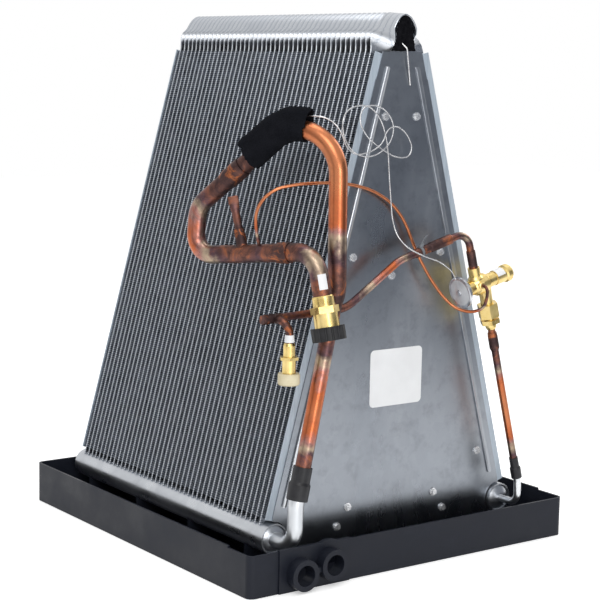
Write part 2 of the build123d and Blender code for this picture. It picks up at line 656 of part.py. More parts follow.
def valve_body():
    """Forged body: a barrel along the head's axis with the inlet, outlet and equaliser necks."""
    profile = [(0, -22), (9.0, -22), (9.0, -10), (12.5, -6), (12.5, 10), (9.5, 15), (9.5, 22), (0, 22)]
    barrel = turned(profile, VALVE, HEAD)
    inlet = turned([(0, 0), (9.5, 0), (9.5, 10), (7.6, 13), (7.6, 24), (0, 24)], valve_point(0, INLET_OFFSET),
                   -Vector(*DOWN))
    outlet = turned([(0, 0), (9.0, 0), (8.0, 16), (8.0, 28), (0, 28)], valve_point(0, OUTLET_OFFSET), DOWN)
    port = turned([(0, 0), (5.0, 0), (5.0, 12.5), (3.6, 13.5), (3.6, 14.2), (2.0, 14.2),
                   (2.0, 12.5), (0, 12.5)], EQUALISER_PORT, (0, -1, 0))
    return barrel + inlet + outlet + port


def outlet_nut():
    """Hexagon below the body's outlet neck."""
    return along(valve_point(28, OUTLET_OFFSET), DOWN) * extrude(RegularPolygon(13.6, 6), amount=18)


def flare_nut():
    """Flanged nut that holds the outlet tube in its neck."""
    r = LIQUID_OD / 2
    flange = along(valve_point(48.5, OUTLET_OFFSET), DOWN) * extrude(RegularPolygon(13.0, 6), amount=6)
    profile = [(0, 0), (7.0, 0), (7.0, 13), (5.8, 16), (r, 16), (r, 10), (0, 10)]
    return flange + turned(profile, valve_point(46, OUTLET_OFFSET), DOWN)


def outlet_tube():
    return tube([OUTLET_END, OUTLET_FOOT], LIQUID_OD)


def outlet_socket():
    """Swaged joint below the flare nut."""
    r = LIQUID_OD / 2
    start = step_between(OUTLET_END, OUTLET_FOOT, 10.0)
    way = Vector(*OUTLET_FOOT) - Vector(*OUTLET_END)
    return turned([(r, 0), (r + 1.0, 1), (r + 1.6, 6), (r + 1.6, 22), (r, 26)], start, way)


def liquid_elbow():
    """Aluminium stub from the right header's cap up to the joint with the outlet tube."""
    start = (HEADER_X, HEADER_Y[0] + CAP_SEAT, HEADER_Z)
    return tube([start, (HEADER_X, PIPE_Y, HEADER_Z), ELBOW_KINK, OUTLET_FOOT], LIQUID_OD, bend=17)


def power_head():
    """Diaphragm housing: two pressed discs rolled together, on a threaded neck."""
    profile = [(0, 0), (8.5, 0), (8.5, 6), (18.5, 9), (20.0, 10.2), (20.0, 13.2), (18.8, 14.0), (16.5, 13.6),
               (3.8, 14.4), (3.4, 16.4), (0, 16.8)]
    return turned(profile, valve_point(0, 22), HEAD)


def stem_cap():
    """Seal cap over the adjusting stem."""
    profile = [(0, 0), (9.6, 0), (9.6, 16), (11.4, 18), (11.4, 24), (9.5, 27), (0, 27)]
    return turned(profile, valve_point(0, -22), tuple(-Vector(*HEAD)))


def stem_sticker():
    """Blank paper patch on the upper side of the seal cap."""
    place = Plane(origin=valve_point(0, -22), z_dir=-Vector(*HEAD), x_dir=-Vector(*DOWN))
    ring = extrude(Circle(9.9) - Circle(9.6), amount=13)
    return place * Pos(0, 0, 1) * (ring & Pos(9, 3, 6) * Box(12, 16, 20))


# ---- thin tubes ---------------------------------------------------------------------------------
EQUALISER_ROUTE = [(-187, -181, 397), (-195, -184, 421), (-198, -188, 441), (-192, -194, 457),
                   (-179, -203, 469), (-153, -213, 474), (-114, -219, 475), (-80, -219, 472), (-45, -217, 463), (-16, -217, 447),
                   (5, -217, 424), (17, -219, 397), (25, -222, 379), (40, -225, 354), (58, -229, 330),
                   (74, -238, 313), (88, -252, 309), (96, -265, 315), (97, -270.5, 328),
                   (EQUALISER_PORT[0], -272, EQUALISER_PORT[2]),
                   (EQUALISER_PORT[0], -262.5, EQUALISER_PORT[2])]
CAPILLARY_ROUTE = [(62, -250, 352), (57, -250, 362), (34, -252, 376), (3, -256, 385), (-22, -256, 396),
                   (-36, -252, 411), (-39, -246, 430), (-37, -240, 453), (-36, -235, 477), (-34, -230, 501),
                   (-34, -226, 523), (-39, -222, 547), (-57, -222, 565), (-82, -225, 566), (-101, -229, 558),
                   (-108, -232, 541), (-102, -233, 523), (-88, -231, 510), (-67, -228, 504), (-44, -225, 508),
                   (-25, -223, 522), (-18, -220, 541), (-28, -218, 559), (-50, -219, 567), (-69, -221, 563),
                   (-74, -222, 547), (-62, -221, 529), (-37, -219, 513), (-11, -218, 502), (8, -218, 503),
                   (12, -219, 515), (1, -221, 532), (-19, -224, 542), (-36, -228, 537), (-45, -232, 521),
                   (-66, -236, 511), (-92, -240, 508), (-109, -243, 517), (-116, -244, 533),
                   (-124, -240, 546),
                   (-136, -235, 553), (-147.4, -219.3, 554), (-157.9, -197.6, 554.5),
                   bulb_point(BULB_LENGTH / 2 + 18), BULB_NECK]


def equaliser_tube():
    """External equaliser from the trap's lower run to the port on the valve's body."""
    return tube(EQUALISER_ROUTE, EQUALISER_OD) - tube([TRAP_LOW, COUPLING], SUCTION_OD)


def capillary_tube():
    """Capillary from the power head, coiled in front of the plate, to the bulb under the felt."""
    return tube(CAPILLARY_ROUTE, CAPILLARY_OD)


def rating_label():
    """Blank label with rounded corners on the front plate."""
    x0, x1, z0, z1 = -38.5, 44.5, 193.0, 265.0
    outline = Pos((x0 + x1) / 2, (z0 + z1) / 2) * RectangleRounded(x1 - x0, z1 - z0, 6)
    return extrude_y(outline, PLATE_FRONT - 0.2, PLATE_FRONT)


def foam_clip():
    """Wire clip that hooks over the front plate's edge and holds the foam."""
    r = 1.0
    inside, over, foot = (-4.0, -212.0, 641.0), (3.0, -214.6, 634.0), (12.0, PLATE_FRONT - r, 590.0)
    return tube([inside, over, foot], 2 * r, bend=6)


os.makedirs("parts", exist_ok=True)
write("drain_pan", drain_pan())
write("header_left", header(-1))
write("header_right", header(1))
write("end_cap_suction", end_cap(-1, True, RISER_OD))
write("end_cap_liquid", end_cap(1, True, LIQUID_OD))
write("end_caps_rear", end_cap(-1, False), end_cap(1, False))
one_tube = coil_tube()
tubes = [Pos(0, FIRST_TUBE_Y + k * PITCH, 0) * one_tube for k in range(1, TUBES)]
tubes.insert(0, Pos(0, FIRST_TUBE_Y, 0) * coil_tube(END_TWIST))
write("coil_tubes", *tubes)
write("fins_left", *fins(-1))
write("fins_right", *fins(1))
for side_name, side in (("left", -1), ("right", 1)):
    write("side_strip_front_" + side_name, side_strip(side, True))
    write("side_strip_rear_" + side_name, side_strip(side, False))
write("delta_plate_front", delta_plate(True))
write("delta_plate_rear", delta_plate(False))
write("plate_screws_front", *[screw(x, z, PLATE_FRONT, -1) for x, z in screw_points()])
write("plate_screws_rear", *[screw(x, z, CORE_BACK + 2 * SHEET_T, 1) for x, z in screw_points()[:-1]])
clip = foam_clip()
write("foam_clip", clip)
write("foam_plug_front", foam_plug(True, clip))
write("foam_plug_rear", foam_plug(False))
write("rating_label", rating_label())
write("suction_elbow", suction_elbow())
write("shrink_sleeve_suction", shrink_sleeve(RISER_FOOT, RISER_WAY, RISER_OD, 42, 3.3, 2.0))
write("lower_riser", lower_riser())
write("upper_riser", upper_riser())
write("suction_trap", suction_trap())
write("suction_coupling", suction_coupling())
write("suction_bend", suction_bend())
write("suction_fitting", suction_fitting())
write("suction_cap", suction_cap())
write("suction_tag", suction_tag())
write("process_socket", process_socket())
write("process_tube", process_tube())
strap = bulb_strap()
write("sensing_bulb", sensing_bulb())
write("bulb_strap", strap)
write("felt_wrap", felt_wrap(strap))
write("liquid_line", liquid_line())
write("liquid_tee", liquid_tee())
write("liquid_branch", liquid_branch())
write("liquid_fitting", liquid_fitting())
write("liquid_cap", liquid_cap())
write("liquid_tag", liquid_tag())
write("line_coupling", line_coupling())
write("valve_inlet_tube", valve_inlet_tube())
write("inlet_socket", inlet_socket())
write("valve_body", valve_body())
write("power_head", power_head())
write("stem_cap", stem_cap())
write("stem_sticker", stem_sticker())
write("outlet_nut", outlet_nut())
write("flare_nut", flare_nut())
write("outlet_tube", outlet_tube())
write("outlet_socket", outlet_socket())
sleeve_middle = step_between(OUTLET_FOOT, OUTLET_END, 6.0)
outlet_way = Vector(*OUTLET_END) - Vector(*OUTLET_FOOT)
write("shrink_sleeve_liquid", shrink_sleeve(sleeve_middle, outlet_way, LIQUID_OD, 30, 2.2, 1.0))
write("liquid_elbow", liquid_elbow())
write("equaliser_tube", equaliser_tube())
write("capillary_tube", capillary_tube())
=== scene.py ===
import bpy
import random
from math import cos, exp, pi, radians, sin
from mathutils import Matrix, Vector, noise


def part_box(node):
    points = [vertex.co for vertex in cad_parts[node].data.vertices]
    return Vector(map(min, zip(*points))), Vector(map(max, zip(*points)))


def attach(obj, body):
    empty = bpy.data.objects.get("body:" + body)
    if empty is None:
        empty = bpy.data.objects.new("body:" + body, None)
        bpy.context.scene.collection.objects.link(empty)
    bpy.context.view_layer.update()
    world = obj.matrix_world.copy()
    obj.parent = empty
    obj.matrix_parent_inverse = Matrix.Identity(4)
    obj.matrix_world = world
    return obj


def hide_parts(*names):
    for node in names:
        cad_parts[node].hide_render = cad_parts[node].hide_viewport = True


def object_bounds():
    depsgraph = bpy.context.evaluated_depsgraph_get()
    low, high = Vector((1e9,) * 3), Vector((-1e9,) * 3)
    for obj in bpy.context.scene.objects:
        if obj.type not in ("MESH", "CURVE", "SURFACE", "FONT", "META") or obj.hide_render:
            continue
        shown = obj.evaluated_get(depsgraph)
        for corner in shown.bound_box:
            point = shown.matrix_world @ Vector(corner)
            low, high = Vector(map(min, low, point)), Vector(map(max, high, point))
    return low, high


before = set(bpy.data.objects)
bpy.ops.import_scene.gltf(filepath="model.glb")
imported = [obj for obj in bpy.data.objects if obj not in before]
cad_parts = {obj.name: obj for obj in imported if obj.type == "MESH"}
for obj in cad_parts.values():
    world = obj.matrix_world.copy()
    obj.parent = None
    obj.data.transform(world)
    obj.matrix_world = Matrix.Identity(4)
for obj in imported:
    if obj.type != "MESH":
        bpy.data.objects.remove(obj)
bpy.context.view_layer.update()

# ---- the coil's own sizes, metres ---------------------------------------------------------------
LEAN = radians(15.15)
TUBES, PITCH = 44, 0.010
TUBE_T, TUBE_W = 0.002, 0.032
FIN_LENGTH = 0.577
FIN_FOLD = 0.0028               # one fold of the fin strip, out and back
RIDGE_TWIST, END_TWIST = 76.0, 86.0

core_low, core_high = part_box("fins_right")
CORE_FRONT = core_low[1]
FIRST_TUBE_Y = CORE_FRONT + PITCH - TUBE_T / 2
FOOT_X = core_high[0]
FOOT_Z = core_high[2] - FIN_LENGTH * cos(LEAN)
FIN_TOP_Z = core_high[2]
RIDGE_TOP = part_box("coil_tubes")[1][2]


def slab(along, depth, side):
    """Point of a slab in (x, z): along it from the fins' foot, and in from its outer face."""
    x = FOOT_X - along * sin(LEAN) - depth * cos(LEAN)
    return side * x, FOOT_Z + along * cos(LEAN) - depth * sin(LEAN)


# ---- mesh helpers -------------------------------------------------------------------------------
def new_piece(name, points, faces, material, sharp=35.0):
    """Mesh piece with smooth faces and sharp folds."""
    mesh = bpy.data.meshes.new(name)
    mesh.from_pydata([tuple(p) for p in points], [], faces)
    mesh.update()
    for face in mesh.polygons:
        face.use_smooth = True
    mesh.set_sharp_from_angle(angle=radians(sharp))
    piece = bpy.data.objects.new(name, mesh)
    bpy.context.scene.collection.objects.link(piece)
    mesh.materials.append(material)
    return piece


def loft(rings, closed_ends=True):
    """Points and faces of a skin over closed rings of equal count."""
    count = len(rings[0])
    points = [p for ring in rings for p in ring]
    faces = []
    for i in range(len(rings) - 1):
        for j in range(count):
            a, b = i * count + j, i * count + (j + 1) % count
            faces.append((a, b, b + count, a + count))
    if closed_ends:
        faces.append(tuple(reversed(range(count))))
        faces.append(tuple(range(len(points) - count, len(points))))
    return points, faces


def join(parts):
    """One list of points and faces from several."""
    points, faces = [], []
    for some_points, some_faces in parts:
        start = len(points)
        points += some_points
        faces += [tuple(start + i for i in face) for face in some_faces]
    return points, faces


# ---- shader helpers -----------------------------------------------------------------------------
def new_group(name, inputs, outputs):
    """Empty shader group: (tree, group input, group output)."""
    tree = bpy.data.node_groups.new(name, "ShaderNodeTree")
    for label, kind, value in inputs:
        socket = tree.interface.new_socket(label, in_out="INPUT", socket_type="NodeSocket" + kind)
        if value is not None:
            socket.default_value = value
    for label, kind in outputs:
        tree.interface.new_socket(label, in_out="OUTPUT", socket_type="NodeSocket" + kind)
    return tree, tree.nodes.new("NodeGroupInput"), tree.nodes.new("NodeGroupOutput")


class Wiring:
    """Adds and links the nodes of one tree."""

    def __init__(self, tree):
        self.tree = tree

    def node(self, kind, **settings):
        made = self.tree.nodes.new("ShaderNode" + kind)
        for key, value in settings.items():
            setattr(made, key, value)
        return made

    def feed(self, socket, value):
        """Links an output, or sets a plain value."""
        if hasattr(value, "links"):
            self.tree.links.new(value, socket)
        else:
            socket.default_value = value

    def maths(self, operation, a, b=0.5, clamp=False):
        made = self.node("Math", operation=operation, use_clamp=clamp)
        self.feed(made.inputs[0], a)
        self.feed(made.inputs[1], b)
        return made.outputs[0]

    def axes(self, place):
        made = self.node("SeparateXYZ")
        self.feed(made.inputs[0], place)
        return made.outputs

    def noise(self, place, scale, detail=4.0, rough=0.55, distortion=0.0):
        made = self.node("TexNoise")
        self.feed(made.inputs["Vector"], place)
        made.inputs["Scale"].default_value = scale
        made.inputs["Detail"].default_value = detail
        made.inputs["Roughness"].default_value = rough
        made.inputs["Distortion"].default_value = distortion
        return made.outputs["Fac"]

    def stretch(self, place, scale):
        made = self.node("Mapping")
        self.feed(made.inputs["Vector"], place)
        made.inputs["Scale"].default_value = scale
        return made.outputs["Vector"]

    def ramp(self, value, stops):
        made = self.node("ValToRGB")
        self.feed(made.inputs["Fac"], value)
        elements = made.color_ramp.elements
        while len(elements) < len(stops):
            elements.new(0.5)
        for element, (at, colour) in zip(elements, stops):
            element.position = at
            element.color = (*colour, 1.0) if hasattr(colour, "__len__") else (colour, colour, colour, 1.0)
        return made.outputs["Color"]

    def spread(self, value, low, high, to_low=0.0, to_high=1.0):
        made = self.node("MapRange")
        self.feed(made.inputs["Value"], value)
        for label, number in (("From Min", low), ("From Max", high), ("To Min", to_low), ("To Max", to_high)):
            made.inputs[label].default_value = number
        return made.outputs["Result"]

    def mix(self, share, a, b, blend="MIX"):
        made = self.node("Mix", data_type="RGBA", blend_type=blend)
        self.feed(made.inputs[0], share)
        for socket, value in ((made.inputs[6], a), (made.inputs[7], b)):
            if not hasattr(value, "links") and len(value) == 3:
                value = (*value, 1.0)
            self.feed(socket, value)
        return made.outputs[2]

    def bump(self, height, strength, distance, normal=None):
        made = self.node("Bump")
        self.feed(made.inputs["Height"], height)
        made.inputs["Strength"].default_value = strength
        made.inputs["Distance"].default_value = distance
        if normal is not None:
            self.feed(made.inputs["Normal"], normal)
        return made.outputs["Normal"]


def new_material(name, colour, roughness, metallic=0.0, **sockets):
    """Material with its plain values on the shader's own sockets: (material, wiring, shader, place)."""
    material = bpy.data.materials.new(name)
    material.use_nodes = True
    tree = material.node_tree
    tree.nodes.clear()
    wire = Wiring(tree)
    shader = wire.node("BsdfPrincipled")
    out = wire.node("OutputMaterial")
    tree.links.new(shader.outputs[0], out.inputs[0])
    shader.inputs["Base Color"].default_value = (*colour, 1.0)
    shader.inputs["Roughness"].default_value = roughness
    shader.inputs["Metallic"].default_value = metallic
    for label, value in sockets.items():
        shader.inputs[label.replace("_", " ")].default_value = value
    place = wire.node("TexCoord").outputs["Object"]
    return material, wire, shader, place


def put(wire, group, place, **values):
    """Places a shared group in a material."""
    made = wire.node("Group")
    made.node_tree = group
    wire.feed(made.inputs["Place"], place)
    for label, value in values.items():
        wire.feed(made.inputs[label.replace("_", " ")], value)
    return made.outputs


# ---- shared effects -----------------------------------------------------------------------------
def make_drawn_metal():
    """Long fine streaks of drawn or rolled metal, with cloudy handling marks."""
    tree, given, out = new_group("drawn_metal", [
        ("Place", "Vector", None), ("Colour", "Color", (0.8, 0.8, 0.8, 1)),
        ("Dull", "Color", (0.5, 0.5, 0.5, 1)),
        ("Along", "Vector", (1, 1, 1)), ("Scale", "Float", 60.0), ("Clouds", "Float", 0.4)],
        [("Colour", "Color"), ("Roughness", "Float"), ("Height", "Float")])
    wire = Wiring(tree)
    run = wire.node("VectorMath", operation="MULTIPLY")
    wire.feed(run.inputs[0], given.outputs["Place"])
    wire.feed(run.inputs[1], given.outputs["Along"])
    streak = wire.node("TexNoise")
    wire.feed(streak.inputs["Vector"], run.outputs[0])
    wire.feed(streak.inputs["Scale"], given.outputs["Scale"])
    streak.inputs["Detail"].default_value = 6.0
    cloud = wire.noise(given.outputs["Place"], 14.0, 5.0, 0.6, 0.6)
    cloud = wire.spread(cloud, 0.42, 0.68)
    share = wire.maths("MULTIPLY", cloud, given.outputs["Clouds"])
    share = wire.maths("ADD", share, wire.spread(streak.outputs["Fac"], 0.35, 0.75, -0.08, 0.22), clamp=True)
    wire.feed(out.inputs["Colour"], wire.mix(share, given.outputs["Colour"], given.outputs["Dull"]))
    wire.feed(out.inputs["Roughness"], wire.spread(share, 0.0, 1.0, 0.26, 0.55))
    wire.feed(out.inputs["Height"], streak.outputs["Fac"])
    return tree


def make_near_joint():
    """Distance to a brazed joint as a share of how far its heat reached, if less than so far."""
    tree, given, out = new_group("near_joint", [
        ("Place", "Vector", None), ("Joint", "Vector", (0, 0, 0)), ("Reach", "Float", 0.05),
        ("So far", "Float", 9.0)],
        [("Share", "Float")])
    wire = Wiring(tree)
    gap = wire.node("VectorMath", operation="DISTANCE")
    wire.feed(gap.inputs[0], given.outputs["Place"])
    wire.feed(gap.inputs[1], given.outputs["Joint"])
    share = wire.maths("DIVIDE", gap.outputs["Value"], given.outputs["Reach"])
    wire.feed(out.inputs["Share"], wire.maths("MINIMUM", share, given.outputs["So far"]))
    return tree


def make_grime():
    """Specks and smears of dirt: a mask and a height."""
    tree, given, out = new_group("grime", [
        ("Place", "Vector", None), ("Scale", "Float", 40.0), ("Amount", "Float", 0.5)],
        [("Mask", "Float"), ("Height", "Float")])
    wire = Wiring(tree)
    smear = wire.node("TexNoise")
    wire.feed(smear.inputs["Vector"], given.outputs["Place"])
    wire.feed(smear.inputs["Scale"], given.outputs["Scale"])
    smear.inputs["Detail"].default_value = 8.0
    smear.inputs["Roughness"].default_value = 0.65
    mask = wire.spread(smear.outputs["Fac"], 0.5, 0.75)
    wire.feed(out.inputs["Mask"], wire.maths("MULTIPLY", mask, given.outputs["Amount"], clamp=True))
    wire.feed(out.inputs["Height"], smear.outputs["Fac"])
    return tree


drawn_metal = make_drawn_metal()
near_joint = make_near_joint()
grime = make_grime()


# ---- materials ----------------------------------------------------------------------------------
def aluminium(name, colour, dull, along, scale, clouds, bump=0.05):
    material, wire, shader, place = new_material(name, colour, 0.35, 1.0)
    metal = put(wire, drawn_metal, place, Colour=(*colour, 1), Dull=(*dull, 1), Along=along, Scale=scale,
                Clouds=clouds)
    wire.feed(shader.inputs["Base Color"], metal["Colour"])
    wire.feed(shader.inputs["Roughness"], metal["Roughness"])
    wire.feed(shader.inputs["Normal"], wire.bump(metal["Height"], bump, 0.0004))
    return material


header_metal = aluminium("header_aluminium", (0.56, 0.58, 0.61), (0.34, 0.36, 0.39), (1, 0.06, 1), 90.0, 0.5)
elbow_metal = aluminium("stub_aluminium", (0.66, 0.68, 0.70), (0.45, 0.47, 0.5), (0.3, 0.3, 0.3), 90.0, 0.5)


def tube_material():
    """Flat tubes: satin aluminium, with painted shade at the braze fillet at the root of every fin fold, and
    painted shade and dirt along the laps over the ridge.
    """
    material, wire, shader, place = new_material("flat_tube_aluminium", (0.52, 0.54, 0.57), 0.36, 1.0)
    metal = put(wire, drawn_metal, place, Colour=(0.52, 0.54, 0.57, 1), Dull=(0.36, 0.38, 0.42, 1),
                Along=(1, 1, 0.05), Scale=220.0, Clouds=0.35)
    axes = wire.axes(place)
    height = axes["Z"]
    fold = FIN_FOLD * cos(LEAN)
    # Painted shade: a dark band at the root of every fin fold, repeating along the slab below the fins' top.
    root = wire.maths("SINE", wire.maths("MULTIPLY", height, 2 * pi / fold), 0.0)
    in_slab = wire.maths("LESS_THAN", height, FIN_TOP_Z)
    root = wire.maths("MULTIPLY", wire.spread(root, -0.3, 0.9, 0.0, 0.85), in_slab)
    colour = wire.mix(root, metal["Colour"], (0.11, 0.13, 0.17))
    # Painted shade and dirt: darker along the edge where each tube laps over the next, on the ridge above the fins.
    lap = wire.maths("FRACT", wire.maths("DIVIDE", wire.maths("SUBTRACT", axes["Y"], CORE_FRONT), PITCH), 0.0)
    lap = wire.ramp(lap, [(0.0, 0.62), (0.14, 0.12), (0.7, 0.0), (0.92, 0.18), (1.0, 0.62)])
    lap = wire.maths("MULTIPLY", lap, wire.maths("GREATER_THAN", height, FIN_TOP_Z + 0.006))
    wire.feed(shader.inputs["Base Color"], wire.mix(lap, colour, (0.20, 0.23, 0.28)))
    wire.feed(shader.inputs["Roughness"], metal["Roughness"])
    wire.feed(shader.inputs["Normal"], wire.bump(metal["Height"], 0.05, 0.0004))
    return material


def fin_material():
    """Fin stock: dull, with louvre slits across each fold."""
    material, wire, shader, place = new_material("fin_stock", (0.50, 0.53, 0.58), 0.4, 0.55)
    patchy = wire.noise(place, 35.0, 5.0)
    colour = wire.ramp(patchy, [(0.3, (0.53, 0.57, 0.63)), (0.7, (0.70, 0.74, 0.80))])
    wire.feed(shader.inputs["Base Color"], colour)
    louvre = wire.node("TexWave", wave_type="BANDS", bands_direction="X")
    wire.feed(louvre.inputs["Vector"], place)
    louvre.inputs["Scale"].default_value = 330.0
    wire.feed(shader.inputs["Normal"], wire.bump(louvre.outputs["Fac"], 0.6, 0.0004))
    return material


BEAD_TOP, BEAD_FOOT = (0.0230, 0.612), (0.1671, 0.085)     # middle line of the pressed beads, (x, z)
BEAD_W = 0.006


def sheet_material():
    """Galvanised sheet: soft spangle, handling smears, a few dark scuffs, and a painted highlight along the pressed
    beads.
    """
    material, wire, shader, place = new_material("galvanised_sheet", (0.30, 0.32, 0.345), 0.3, 1.0)
    spangle = wire.node("TexVoronoi", feature="F1")
    wire.feed(spangle.inputs["Vector"], place)
    spangle.inputs["Scale"].default_value = 70.0
    crystal = wire.ramp(spangle.outputs["Color"], [(0.0, 0.45), (1.0, 0.55)])
    cloud = wire.noise(wire.stretch(place, (1, 1, 0.35)), 7.0, 5.0, 0.6, 0.8)
    colour = wire.ramp(cloud, [
        (0.3, (0.25, 0.27, 0.30)), (0.55, (0.30, 0.32, 0.35)), (0.8, (0.36, 0.38, 0.41))])
    colour = wire.mix(0.35, colour, crystal, "OVERLAY")
    dirt = put(wire, grime, place, Scale=55.0, Amount=0.5)
    axes = wire.axes(place)
    run = Vector(BEAD_FOOT) - Vector(BEAD_TOP)
    run.normalize()
    outward = wire.maths("SUBTRACT", wire.maths("ABSOLUTE", axes["X"]), BEAD_TOP[0])
    across = wire.maths("MULTIPLY", outward, run.y)
    along = wire.maths("MULTIPLY", wire.maths("SUBTRACT", axes["Z"], BEAD_TOP[1]), run.x)
    off = wire.maths("DIVIDE", wire.maths("SUBTRACT", across, along), BEAD_W / 2)
    bead_and_highlight = wire.maths("SQRT", wire.maths("SUBTRACT", 1.0, wire.maths("MULTIPLY", off, off), clamp=True))
    bead_and_highlight = wire.maths("MULTIPLY", bead_and_highlight, wire.maths("GREATER_THAN", axes["Z"], BEAD_FOOT[1]))
    bead_and_highlight = wire.maths("MULTIPLY", bead_and_highlight, wire.maths("LESS_THAN", axes["Z"], BEAD_TOP[1]))
    # Painted highlight: the left bead gets all of it, the right bead only 0.3 of it.
    left = wire.maths("LESS_THAN", axes["X"], 0.0)
    bead_and_highlight = wire.maths("MULTIPLY", bead_and_highlight, wire.spread(left, 0.0, 1.0, 0.3, 1.0))
    colour = wire.mix(dirt["Mask"], colour, (0.17, 0.18, 0.20))
    # Painted highlight: the beads' colour is lightened towards (0.62, 0.64, 0.67).
    wire.feed(shader.inputs["Base Color"], wire.mix(bead_and_highlight, colour, (0.62, 0.64, 0.67)))
    wire.feed(shader.inputs["Roughness"], wire.spread(cloud, 0.2, 0.8, 0.22, 0.38))
    soft = wire.bump(cloud, 0.12, 0.002)
    wire.feed(shader.inputs["Normal"], wire.bump(bead_and_highlight, 1.0, 0.0022, soft))
    return material


def strip_material():
    """Side strips: pale satin aluminium with long rolling lines."""
    material, wire, shader, place = new_material("side_strip_aluminium", (0.46, 0.53, 0.60), 0.42, 0.35)
    line = wire.noise(wire.stretch(place, (60, 60, 2)), 6.0, 5.0)
    cloud = wire.noise(place, 16.0, 5.0)
    colour = wire.ramp(line, [(0.3, (0.42, 0.49, 0.56)), (0.7, (0.52, 0.59, 0.66))])
    dull = wire.spread(cloud, 0.5, 0.8, 0.0, 0.5)
    wire.feed(shader.inputs["Base Color"], wire.mix(dull, colour, (0.34, 0.38, 0.43)))
    wire.feed(shader.inputs["Normal"], wire.bump(line, 0.1, 0.0003))
    return material


def copper_material(name, joints):
    """Copper tube: clean between the joints, with heat colours and soot close to them."""
    material, wire, shader, place = new_material(name, (0.72, 0.33, 0.18), 0.25, 1.0)
    nearest = 9.0
    for joint, reach in joints:
        nearest = put(wire, near_joint, place, Joint=joint, Reach=reach, So_far=nearest)["Share"]
    waver = wire.noise(place, 45.0, 5.0, 0.6, 0.5)
    nearest = wire.maths("ADD", nearest, wire.spread(waver, 0.2, 0.8, -0.24, 0.24))
    heat = wire.ramp(wire.maths("DIVIDE", nearest, 2.0), [
        (0.00, (0.035, 0.026, 0.028)), (0.12, (0.090, 0.050, 0.046)), (0.24, (0.20, 0.085, 0.060)),
        (0.36, (0.095, 0.055, 0.066)), (0.47, (0.40, 0.31, 0.22)), (0.54, (0.34, 0.17, 0.15)),
        (0.64, (0.46, 0.120, 0.045)), (1.00, (0.50, 0.180, 0.082))])
    cloud = wire.noise(place, 42.0, 7.0, 0.75, 1.2)
    sooty = wire.spread(nearest, 0.2, 1.5, 0.85, 0.18)
    patches = wire.maths("MULTIPLY", wire.spread(cloud, 0.48, 0.60), sooty, clamp=True)
    colour = wire.mix(patches, heat, (0.055, 0.034, 0.034))
    near_heat = wire.spread(nearest, 0.9, 0.3, 0.0, 0.8)
    bright = wire.maths("MULTIPLY", wire.spread(cloud, 0.47, 0.39), near_heat, clamp=True)
    colour = wire.mix(bright, colour, (0.40, 0.13, 0.05))
    wire.feed(shader.inputs["Base Color"], colour)
    worn = wire.spread(nearest, 0.1, 1.1, 0.5, 0.27)
    rough = wire.maths("ADD", worn, wire.spread(cloud, 0.3, 0.8, -0.04, 0.14), clamp=True)
    wire.feed(shader.inputs["Roughness"], rough)
    fine = wire.noise(place, 420.0, 3.0)
    wire.feed(shader.inputs["Normal"], wire.bump(fine, 0.06, 0.0003))
    return material


def brass_material():
    material, wire, shader, place = new_material("machined_brass", (0.72, 0.54, 0.20), 0.25, 1.0)
    patchy = wire.noise(place, 60.0, 5.0)
    wire.feed(shader.inputs["Base Color"], wire.ramp(patchy, [
        (0.3, (0.50, 0.36, 0.12)), (0.5, (0.74, 0.56, 0.22)), (0.75, (0.86, 0.68, 0.32))]))
    wire.feed(shader.inputs["Roughness"], wire.spread(patchy, 0.3, 0.8, 0.2, 0.42))
    wire.feed(shader.inputs["Normal"], wire.bump(wire.noise(place, 500.0, 2.0), 0.1, 0.0003))
    return material


def pan_material():
    """Moulded pan: near black, with a faint grain, pale dust and rubbed patches."""
    material, wire, shader, place = new_material(
        "pan_plastic", (0.010, 0.012, 0.020), 0.4, Specular_IOR_Level=0.22)
    dust = put(wire, grime, place, Scale=18.0, Amount=0.35)
    colour = wire.mix(dust["Mask"], (0.009, 0.011, 0.018), (0.034, 0.038, 0.052))
    wire.feed(shader.inputs["Base Color"], colour)
    wire.feed(shader.inputs["Roughness"], wire.spread(dust["Height"], 0.3, 0.7, 0.34, 0.6))
    wire.feed(shader.inputs["Normal"], wire.bump(wire.noise(place, 900.0, 2.0), 0.12, 0.0003))
    return material


def plain_plastic(name, colour, other, roughness, scale=80.0, shine=0.3):
    material, wire, shader, place = new_material(name, colour, roughness, Specular_IOR_Level=shine)
    patchy = wire.noise(place, scale, 5.0)
    wire.feed(shader.inputs["Base Color"], wire.ramp(patchy, [(0.35, colour), (0.7, other)]))
    wire.feed(shader.inputs["Roughness"], wire.spread(patchy, 0.2, 0.8, roughness - 0.08, roughness + 0.12))
    wire.feed(shader.inputs["Normal"], wire.bump(wire.noise(place, 600.0, 3.0), 0.15, 0.0004))
    return material


def felt_material():
    """Thick felt: matted fibres, no shine."""
    material, wire, shader, place = new_material("black_felt", (0.006, 0.007, 0.009), 1.0,
                                                 Specular_IOR_Level=0.06)
    fibre = wire.noise(place, 700.0, 6.0, 0.7, 1.5)
    cloud = wire.noise(place, 60.0, 4.0)
    colour = wire.ramp(fibre, [(0.35, (0.003, 0.0035, 0.005)), (0.75, (0.014, 0.015, 0.020))])
    lint = wire.spread(cloud, 0.4, 0.8, 0.0, 0.4)
    wire.feed(shader.inputs["Base Color"], wire.mix(lint, colour, (0.016, 0.017, 0.022)))
    wire.feed(shader.inputs["Normal"], wire.bump(fibre, 0.8, 0.0016))
    return material


